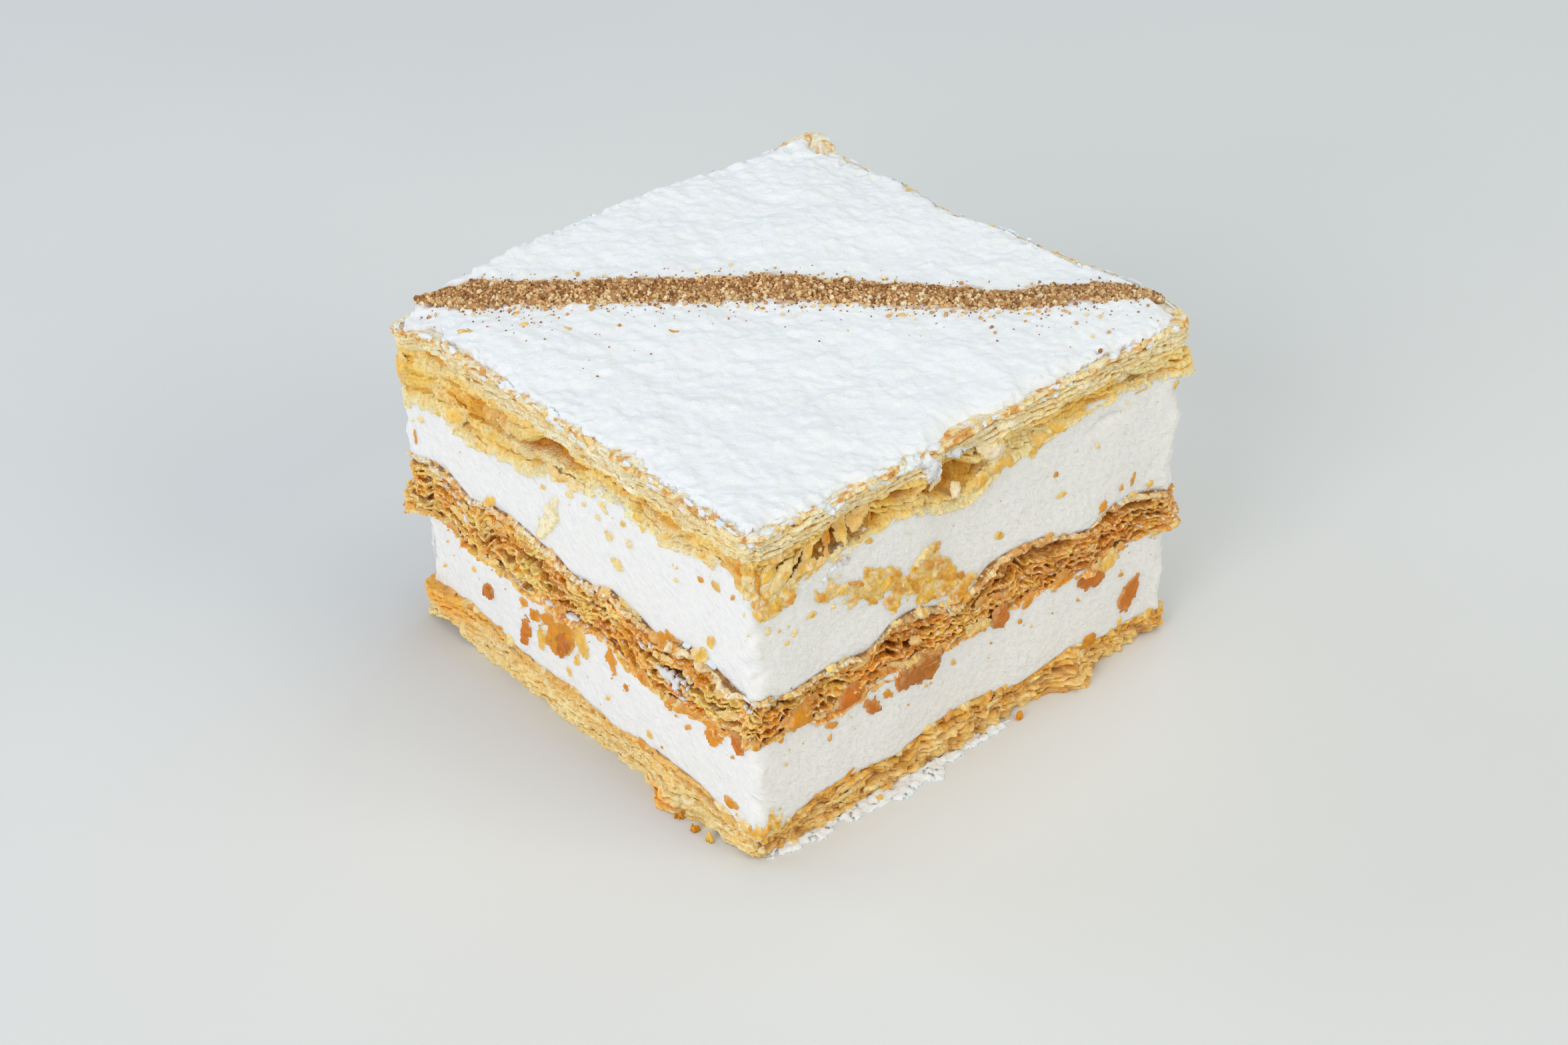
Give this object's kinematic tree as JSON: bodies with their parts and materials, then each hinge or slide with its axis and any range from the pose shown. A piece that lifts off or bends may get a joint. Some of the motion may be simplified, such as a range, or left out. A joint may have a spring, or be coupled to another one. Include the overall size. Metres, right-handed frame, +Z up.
{
  "type": "mille feuille slice",
  "caption": "Square-cut mille feuille slice: flaky pastry sheets with thick white cream between them, powdered sugar on top and a diagonal line of cinnamon sugar",
  "frame": {"origin": "middle of the slice's bounding box in X and Y, on the surface it stands on", "axes": "+Z up; the front cut face looks along -Y, the right cut face along +X"},
  "size_m": [0.0866, 0.0894, 0.0563],
  "materials": {
    "pastry_bottom": "golden baked puff pastry, compact, flaky at the cut edges",
    "cream_lower": "white whipped cream, soft satin",
    "pastry_middle": "caramel-brown baked puff pastry, moist from the cream",
    "cream_upper": "white whipped cream, soft satin",
    "pastry_top": "pale golden puff pastry, a compact band over torn translucent leaves",
    "powdered_sugar": "fine white powder, fully matt",
    "cinnamon_sugar": "brown powder with tan sugar crystals"
  },
  "bodies": {
    "root": {"pastry_bottom": "pastry_bottom", "cream_lower": "cream_lower", "pastry_middle": "pastry_middle", "cream_upper": "cream_upper", "pastry_top": "pastry_top", "powdered_sugar": "powdered_sugar", "cinnamon_sugar_line": "cinnamon_sugar"}
  },
  "joints": []
}
